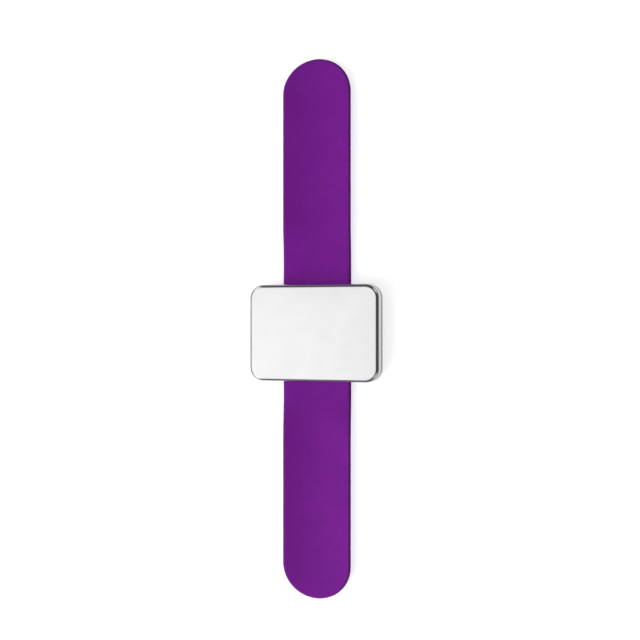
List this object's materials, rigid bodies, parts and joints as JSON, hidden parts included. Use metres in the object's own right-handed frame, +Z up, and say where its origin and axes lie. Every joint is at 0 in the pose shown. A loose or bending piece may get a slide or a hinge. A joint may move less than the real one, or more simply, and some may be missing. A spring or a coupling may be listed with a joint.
{
  "type": "wrist pin cushion",
  "caption": "Magnetic wrist pin holder: a flat steel-faced magnet case that slides on a silicone slap band, which curls round the wrist from both ends.",
  "frame": {"origin": "centre of the bounding box's underside, on the surface that the holder lies on", "axes": "+Z up out of the pin face, +Y along the flat band towards the end that wraps underneath, +X across the band along the case's long side"},
  "size_m": [0.057, 0.232, 0.009],
  "materials": {
    "silicone": "matte",
    "spring_steel": "satin",
    "satin_steel": "satin",
    "black_plastic": "matte",
    "mild_steel": "satin",
    "ferrite": "matte",
    "foam_tape": "matte"
  },
  "bodies": {
    "case": {"case_cover": "satin_steel", "case_tray": "satin_steel", "strap_keeper": "satin_steel", "keeper_rivets": "satin_steel", "magnet_carrier": "black_plastic", "back_iron": "mild_steel", "magnet_left": "ferrite", "magnet_right": "ferrite", "adhesive_pad": "foam_tape"},
    "centre": {"centre_sleeve": "silicone", "centre_strip": "spring_steel"},
    "under_01": {"under_sleeve_01": "silicone", "under_strip_01": "spring_steel"},
    "under_02": {"under_sleeve_02": "silicone", "under_strip_02": "spring_steel"},
    "under_03": {"under_sleeve_03": "silicone", "under_strip_03": "spring_steel"},
    "under_04": {"under_sleeve_04": "silicone", "under_strip_04": "spring_steel"},
    "under_05": {"under_sleeve_05": "silicone", "under_strip_05": "spring_steel"},
    "under_06": {"under_sleeve_06": "silicone", "under_strip_06": "spring_steel"},
    "under_07": {"under_sleeve_07": "silicone", "under_strip_07": "spring_steel"},
    "under_08": {"under_sleeve_08": "silicone", "under_strip_08": "spring_steel"},
    "under_09": {"under_sleeve_09": "silicone", "under_strip_09": "spring_steel"},
    "under_10": {"under_sleeve_10": "silicone", "under_strip_10": "spring_steel"},
    "under_11": {"under_sleeve_11": "silicone", "under_strip_11": "spring_steel"},
    "over_01": {"over_sleeve_01": "silicone", "over_strip_01": "spring_steel"},
    "over_02": {"over_sleeve_02": "silicone", "over_strip_02": "spring_steel"},
    "over_03": {"over_sleeve_03": "silicone", "over_strip_03": "spring_steel"},
    "over_04": {"over_sleeve_04": "silicone", "over_strip_04": "spring_steel"},
    "over_05": {"over_sleeve_05": "silicone", "over_strip_05": "spring_steel"},
    "over_06": {"over_sleeve_06": "silicone", "over_strip_06": "spring_steel"},
    "over_07": {"over_sleeve_07": "silicone", "over_strip_07": "spring_steel"},
    "over_08": {"over_sleeve_08": "silicone", "over_strip_08": "spring_steel"},
    "over_09": {"over_sleeve_09": "silicone", "over_strip_09": "spring_steel"},
    "over_10": {"over_sleeve_10": "silicone", "over_strip_10": "spring_steel"},
    "over_11": {"over_sleeve_11": "silicone", "over_strip_11": "spring_steel"}
  },
  "joints": [
    {"name": "band_slide", "type": "slide", "parent": "case", "child": "centre", "axis": [0, 1, 0], "range_m": [-0.0097, 0.0063]},
    {"name": "under_curl_01", "type": "hinge", "parent": "centre", "child": "under_01", "pos_m": [0, 0.0155, 0.002], "axis": [-1, 0, 0], "range_deg": [0, 10]},
    {"name": "under_curl_02", "type": "hinge", "parent": "under_01", "child": "under_02", "pos_m": [0, 0.0219, 0.002], "axis": [-1, 0, 0], "range_deg": [0, 20]},
    {"name": "under_curl_03", "type": "hinge", "parent": "under_02", "child": "under_03", "pos_m": [0, 0.0283, 0.002], "axis": [-1, 0, 0], "range_deg": [0, 20]},
    {"name": "under_curl_04", "type": "hinge", "parent": "under_03", "child": "under_04", "pos_m": [0, 0.0347, 0.002], "axis": [-1, 0, 0], "range_deg": [0, 20]},
    {"name": "under_curl_05", "type": "hinge", "parent": "under_04", "child": "under_05", "pos_m": [0, 0.0411, 0.002], "axis": [-1, 0, 0], "range_deg": [0, 20]},
    {"name": "under_curl_06", "type": "hinge", "parent": "under_05", "child": "under_06", "pos_m": [0, 0.0475, 0.002], "axis": [-1, 0, 0], "range_deg": [0, 20]},
    {"name": "under_curl_07", "type": "hinge", "parent": "under_06", "child": "under_07", "pos_m": [0, 0.0539, 0.002], "axis": [-1, 0, 0], "range_deg": [0, 20]},
    {"name": "under_curl_08", "type": "hinge", "parent": "under_07", "child": "under_08", "pos_m": [0, 0.0603, 0.002], "axis": [-1, 0, 0], "range_deg": [0, 20]},
    {"name": "under_curl_09", "type": "hinge", "parent": "under_08", "child": "under_09", "pos_m": [0, 0.0667, 0.002], "axis": [-1, 0, 0], "range_deg": [0, 20]},
    {"name": "under_curl_10", "type": "hinge", "parent": "under_09", "child": "under_10", "pos_m": [0, 0.0731, 0.002], "axis": [-1, 0, 0], "range_deg": [0, 10]},
    {"name": "under_curl_11", "type": "hinge", "parent": "under_10", "child": "under_11", "pos_m": [0, 0.0941, 0.002], "axis": [-1, 0, 0], "range_deg": [0, 12]},
    {"name": "over_curl_01", "type": "hinge", "parent": "centre", "child": "over_01", "pos_m": [0, -0.0155, 0.002], "axis": [1, 0, 0], "range_deg": [0, 10]},
    {"name": "over_curl_02", "type": "hinge", "parent": "over_01", "child": "over_02", "pos_m": [0, -0.0227, 0.002], "axis": [1, 0, 0], "range_deg": [0, 20]},
    {"name": "over_curl_03", "type": "hinge", "parent": "over_02", "child": "over_03", "pos_m": [0, -0.0299, 0.002], "axis": [1, 0, 0], "range_deg": [0, 20]},
    {"name": "over_curl_04", "type": "hinge", "parent": "over_03", "child": "over_04", "pos_m": [0, -0.0371, 0.002], "axis": [1, 0, 0], "range_deg": [0, 20]},
    {"name": "over_curl_05", "type": "hinge", "parent": "over_04", "child": "over_05", "pos_m": [0, -0.0443, 0.002], "axis": [1, 0, 0], "range_deg": [0, 20]},
    {"name": "over_curl_06", "type": "hinge", "parent": "over_05", "child": "over_06", "pos_m": [0, -0.0515, 0.002], "axis": [1, 0, 0], "range_deg": [0, 20]},
    {"name": "over_curl_07", "type": "hinge", "parent": "over_06", "child": "over_07", "pos_m": [0, -0.0587, 0.002], "axis": [1, 0, 0], "range_deg": [0, 20]},
    {"name": "over_curl_08", "type": "hinge", "parent": "over_07", "child": "over_08", "pos_m": [0, -0.0659, 0.002], "axis": [1, 0, 0], "range_deg": [0, 20]},
    {"name": "over_curl_09", "type": "hinge", "parent": "over_08", "child": "over_09", "pos_m": [0, -0.0731, 0.002], "axis": [1, 0, 0], "range_deg": [0, 20]},
    {"name": "over_curl_10", "type": "hinge", "parent": "over_09", "child": "over_10", "pos_m": [0, -0.0803, 0.002], "axis": [1, 0, 0], "range_deg": [0, 10]},
    {"name": "over_curl_11", "type": "hinge", "parent": "over_10", "child": "over_11", "pos_m": [0, -0.0963, 0.002], "axis": [1, 0, 0], "range_deg": [0, 4]}
  ],
  "couplings": [
    {"joint": "under_curl_02", "follows": "under_curl_01", "ratio": 2},
    {"joint": "under_curl_03", "follows": "under_curl_01", "ratio": 2},
    {"joint": "under_curl_04", "follows": "under_curl_01", "ratio": 2},
    {"joint": "under_curl_05", "follows": "under_curl_01", "ratio": 2},
    {"joint": "under_curl_06", "follows": "under_curl_01", "ratio": 2},
    {"joint": "under_curl_07", "follows": "under_curl_01", "ratio": 2},
    {"joint": "under_curl_08", "follows": "under_curl_01", "ratio": 2},
    {"joint": "under_curl_09", "follows": "under_curl_01", "ratio": 2},
    {"joint": "under_curl_10", "follows": "under_curl_01", "ratio": 1},
    {"joint": "under_curl_11", "follows": "under_curl_01", "ratio": 1.2},
    {"joint": "over_curl_02", "follows": "over_curl_01", "ratio": 2},
    {"joint": "over_curl_03", "follows": "over_curl_01", "ratio": 2},
    {"joint": "over_curl_04", "follows": "over_curl_01", "ratio": 2},
    {"joint": "over_curl_05", "follows": "over_curl_01", "ratio": 2},
    {"joint": "over_curl_06", "follows": "over_curl_01", "ratio": 2},
    {"joint": "over_curl_07", "follows": "over_curl_01", "ratio": 2},
    {"joint": "over_curl_08", "follows": "over_curl_01", "ratio": 2},
    {"joint": "over_curl_09", "follows": "over_curl_01", "ratio": 2},
    {"joint": "over_curl_10", "follows": "over_curl_01", "ratio": 1},
    {"joint": "over_curl_11", "follows": "over_curl_01", "ratio": 0.4}
  ]
}
